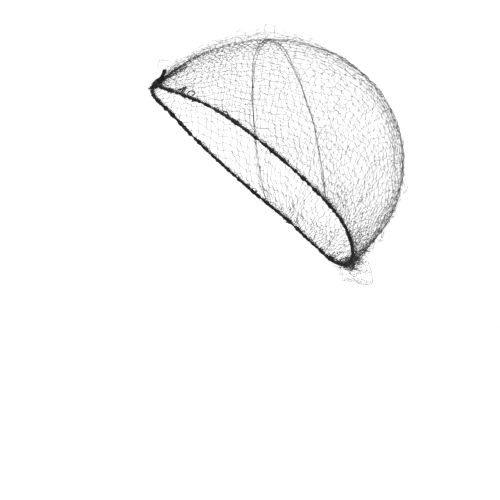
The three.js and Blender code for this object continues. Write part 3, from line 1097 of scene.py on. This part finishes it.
def tangles(loose=150):
    """Small tangles of thread on the elastic: three rings of thread each."""
    shares, angles, sizes = np.array(TANGLES).T
    shares = np.append(shares, random.uniform(1.3 * elastic_start, 1 - 1.3 * elastic_start, loose))
    angles = np.append(np.radians(angles), random.normal(-1.2, 0.9, loose))
    sizes = np.append(sizes, random.gamma(2, 0.00038, loose).clip(*TANGLE_SIZES))
    places = round_elastic(shares, angles, elastic_radius(shares) + 0.2 * sizes)
    places, sizes = np.repeat(places, 3, axis=0), np.repeat(sizes, 3)[:, None, None]
    places = scattered(places, 0.12 * sizes[:, 0])
    frames = np.linalg.qr(random.normal(size=(len(places), 3, 3)))[0]
    frames = frames * 0.34 * sizes * random.uniform(0.7, 1.2, sizes.shape)
    return copies(*ring_template(9, 0.42), frames, places)


def pleat(threads=30):
    """Net drawn together from a stretch of the elastic to one point above it."""
    first, last = PLEAT_SHARES
    below = elastic_place(np.array([0.9 * last + 0.1 * first]))
    corner, normal, down, _ = (value[0] for value in below)
    corner = corner - down * PLEAT_HEIGHT + normal * 0.0005
    share = first + (last - first) * np.clip(random.beta(0.6, 0.6, threads), 0, 1)
    feet = elastic_place(share)[0][:, None]
    t = np.linspace(0, 1, 9)[None, :, None]
    tops = corner + random.normal(size=(threads, 1, 3)) * 0.0003
    waves = random.normal(size=(threads, 1, 3)) * THREAD_SCATTER * np.sin(np.pi * t)
    return tubes(feet + (tops - feet) * t + waves, PLEAT_THREAD_RADIUS, normal)


def standing_loops():
    parts = []
    t = np.linspace(0, 1, 29)[:, None]
    for share, width, height, thickness in STANDING_LOOPS:
        centre, normal, down, tangent = elastic_place(np.array([share]))
        line = centre + tangent * width / 2 * np.sin(2 * np.pi * t)
        line = line - down * (0.0005 + height / 2 * (1 - np.cos(2 * np.pi * t)))
        line = line + normal * (0.0006 + 0.0005 * np.sin(3 * np.pi * t))
        parts.append(tubes(line[None], thickness / 2, normal[0], 5))
    return parts


def nape_tangle(count=60):
    """Knotted loops of slack that stand off behind the elastic at the nape."""
    first = elastic_place(0.5 + random.normal(0, 0.022, count))[0][:, None]
    last = scattered(first, 0.002)
    side, back = random.normal(0, 0.3, count), random.uniform(0.5, 1, count)
    up = random.uniform(-0.45, 0.45, count)
    way = unit_vectors(np.stack([side, back, up], axis=-1))[:, None]
    other = unit_vectors(random.normal(size=(count, 1, 3)))
    reach = random.uniform(*NAPE_LOOP_HEIGHTS, (count, 1, 1))
    lines = looped(first, last, way * reach, -0.38 * other * reach, 13)
    knots = lines[:, 3:10:2].reshape(-1, 3)
    return [tubes(lines, THREAD_DIAMETER / 2, other), net_knots(knots, 1.2)]


# The knot at the forehead and the elastic's cut ends.

knot_centre, knot_out, knot_down, _ = (value[0] for value in elastic_place(np.array([0.0])))


def in_knot(points):
    """Points given in millimetres across, up and out from the knot's centre."""
    points = (np.asarray(points, float) - [0, 0, KNOT_SINK]) / 1000
    return knot_centre + points @ np.array([[1.0, 0, 0], -knot_down, knot_out])


def covered_cord(points, radius, facing, steps=10):
    """A covered elastic through points, with its winding thread."""
    line = smooth_curve(points, steps)
    radii = radius * (1 + 0.1 * make_noise(CORD_LUMP_LENGTH)(line))
    parts = [tubes(line[None], radii[None], facing, 12)]
    turns = max(2, int(path_length(line) / COVER_PITCH))
    tangents = unit_vectors(np.gradient(line, axis=0))
    right = unit_vectors(np.cross(facing, tangents))
    tables = (line, right, np.cross(tangents, right), radii[:, None])
    angle, centre, right, up, reach = wound(turns, *tables)
    helix = centre + (reach + COVER_LIFT) * (right * np.cos(angle) + up * np.sin(angle))
    parts.append(tubes(helix[None], COVER_THREAD_RADIUS, facing))
    return parts


def fibres(root, direction, length, spread, count=90):
    """Frayed threads that fan out from a cut end."""
    ways = unit_vectors(direction + spread * random.normal(size=(count, 3)))
    bend = unit_vectors(direction + 2 * spread * random.normal(size=(count, 3)))
    reach = length * random.uniform(0.4, 1.1, (count, 1, 1))
    t = np.linspace(0, 1, 6)[None, :, None]
    start = root + random.normal(size=(count, 1, 3)) * THREAD_SCATTER
    lines = start + reach * (ways[:, None] * t + (bend - ways)[:, None] * 0.5 * t**2)
    thin = FIBRE_RADIUS * (1 - 0.6 * np.linspace(0, 1, 6))[None]
    return tubes(lines, np.repeat(thin, count, axis=0), knot_out, 3)


def knot_gathers(count=60):
    """Net drawn together between the top of the knot and the elastic on both sides of it."""
    share = 1.1 * elastic_start + 0.019 * random.beta(0.9, 1.8, (2, count))
    share[1] = 1 - share[1]
    feet = elastic_place(share.ravel())[0][:, None]
    tops = in_knot([(0, 4.6, -0.9)]) + random.normal(size=(2 * count, 1, 3)) * 0.0006
    t = np.linspace(0, 1, 9)[None, :, None]
    bulge = random.uniform(-0.0004, 0.0014, (2 * count, 1, 1)) * np.sin(np.pi * t)
    return tubes(tops + (feet - tops) * t + knot_out * bulge, HEM_THREAD_RADIUS, knot_out)


def frayed_fan(root, corners, threads=20, rows=7):
    """Threads that fan out from a root to an edge, with the threads that still cross them."""
    t = np.linspace(0, 1, 11)[None, :, None]
    edge = corners[0] + (corners[1] - corners[0]) * np.linspace(0, 1, threads)[:, None]
    edge = scattered(edge, THREAD_SCATTER)[:, None]
    tops = root + random.normal(size=(threads, 1, 3)) * THREAD_SCATTER
    lines = tops + (edge - tops) * t * random.uniform(0.85, 1.05, (threads, 1, 1))
    lines = scattered(lines, 0.00025 * t)
    crossing = scattered(np.swapaxes(lines[:, 3 : 3 + rows], 0, 1), 0.0001)
    return [tubes(lines, FAN_THREAD_RADIUS, knot_out), tubes(crossing, FAN_CROSSING_RADIUS, knot_out)]


def make_knot():
    side = elastic_place(np.array([1.6, 1.0]) * elastic_start)[0]
    other = side * [-1, 1, 1]
    parts = [knot_gathers()]
    for start, rest in ((side, LEFT_END), (other, RIGHT_END)):
        points = np.concatenate([start, in_knot(rest)])
        parts += covered_cord(points, KNOT_CORD_RADIUS, np.array([0.13, 0.2, 0.97]))
    top = in_knot([(0.2, 5.0, 1.0)])
    parts += frayed_fan(top, in_knot([(-1.2, 0.2, 2.4), (-1.2, -4.6, -0.9)]))
    parts += frayed_fan(top, in_knot([(-1.2, -4.6, -0.9), (7, -3.4, -1.6)]), 26)
    add_piece("knot_wraps", parts, "elastic", "forehead_knot")


def cut_end(root, tip, radius, inset, length, spread):
    """A cut end of the elastic. Its frayed threads start a share of the way in from its tip."""
    parts = covered_cord([root, (root + tip) / 2, tip], radius, np.array([1.0, 0, 0.1]), 8)
    return parts + [fibres(tip - (tip - root) * inset, unit_vectors(tip - root), length, spread)]


def make_cut_ends():
    low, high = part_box("knot_tail_long")
    tip = np.array([(low[0] + high[0]) / 2, high[1], high[2]]) + LONG_END_OFFSET
    parts = cut_end(in_knot([(0.3, 5.2, 0.6)])[0], tip, LONG_END_RADIUS, 0.1, 0.0011, 0.22)
    add_piece("cut_end_long", parts, "elastic", "knot_tail_long")
    tip = np.mean(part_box("knot_tail_short"), axis=0)
    parts = cut_end(in_knot([(-1.6, -3.8, 0.4)])[0], tip, SHORT_END_RADIUS, 0, 0.002, 0.5)
    add_piece("cut_end_short", parts, "elastic", "knot_tail_short")


starts, ends, hems = make_net()
make_slack(starts, ends)
make_seam()
make_elastic()
make_hem(hems)
make_knot()
make_cut_ends()


# The floor, the light and the camera.


def make_floor(sides=128):
    turns = 2 * math.pi / sides * np.arange(sides)
    corners = [(FLOOR_RADIUS * math.cos(a), FLOOR_RADIUS * math.sin(a), FLOOR_HEIGHT) for a in turns]
    mesh = bpy.data.meshes.new("floor")
    mesh.from_pydata(corners, [], [tuple(range(sides))])
    material = bpy.data.materials.new("pale_floor")
    material.use_nodes = True
    shader = material.node_tree.nodes["Principled BSDF"]
    set_inputs(shader, {"Base Color": FLOOR_COLOUR, "Roughness": 0.95, "Specular IOR Level": 0.1})
    mesh.materials.append(material)
    floor = bpy.data.objects.new("floor", mesh)
    bpy.context.collection.objects.link(floor)


def aim(thing, place, target):
    thing.location = place
    thing.rotation_mode = "QUATERNION"
    thing.rotation_quaternion = (Vector(target) - Vector(place)).to_track_quat("-Z", "Y")
    bpy.context.collection.objects.link(thing)


def area_light(name, place, size, power):
    data = bpy.data.lights.new(name, "AREA")
    data.size = size
    data.energy = power
    aim(bpy.data.objects.new(name, data), place, LIGHT_TARGET)


def make_light():
    world = bpy.data.worlds.new("studio")
    bpy.context.scene.world = world
    world.use_nodes = True
    background = world.node_tree.nodes["Background"]
    set_inputs(background, {"Color": (1, 1, 1, 1), "Strength": WORLD_STRENGTH})
    for light in LIGHTS:
        area_light(*light)


def make_camera():
    data = bpy.data.cameras.new("camera")
    data.sensor_width = 36
    data.lens = data.sensor_width * CAMERA_DISTANCE * PIXELS_PER_METRE / FRAME_PIXELS
    data.clip_start, data.clip_end = 0.05, 50
    c, s = math.cos(CAMERA_AZIMUTH), math.sin(CAMERA_AZIMUTH)
    away, right = Vector((s, -c, 0)), Vector((c, s, 0))
    across = (FRAME_PIXELS / 2 - ORIGIN_PIXEL[0]) / PIXELS_PER_METRE
    up = (ORIGIN_PIXEL[1] - FRAME_PIXELS / 2) / PIXELS_PER_METRE
    target = right * across + Vector((0, 0, up))
    camera = bpy.data.objects.new("camera", data)
    aim(camera, target + away * CAMERA_DISTANCE, target)
    bpy.context.scene.camera = camera
    bpy.context.scene.view_settings.view_transform = "Standard"


make_floor()
make_light()
make_camera()
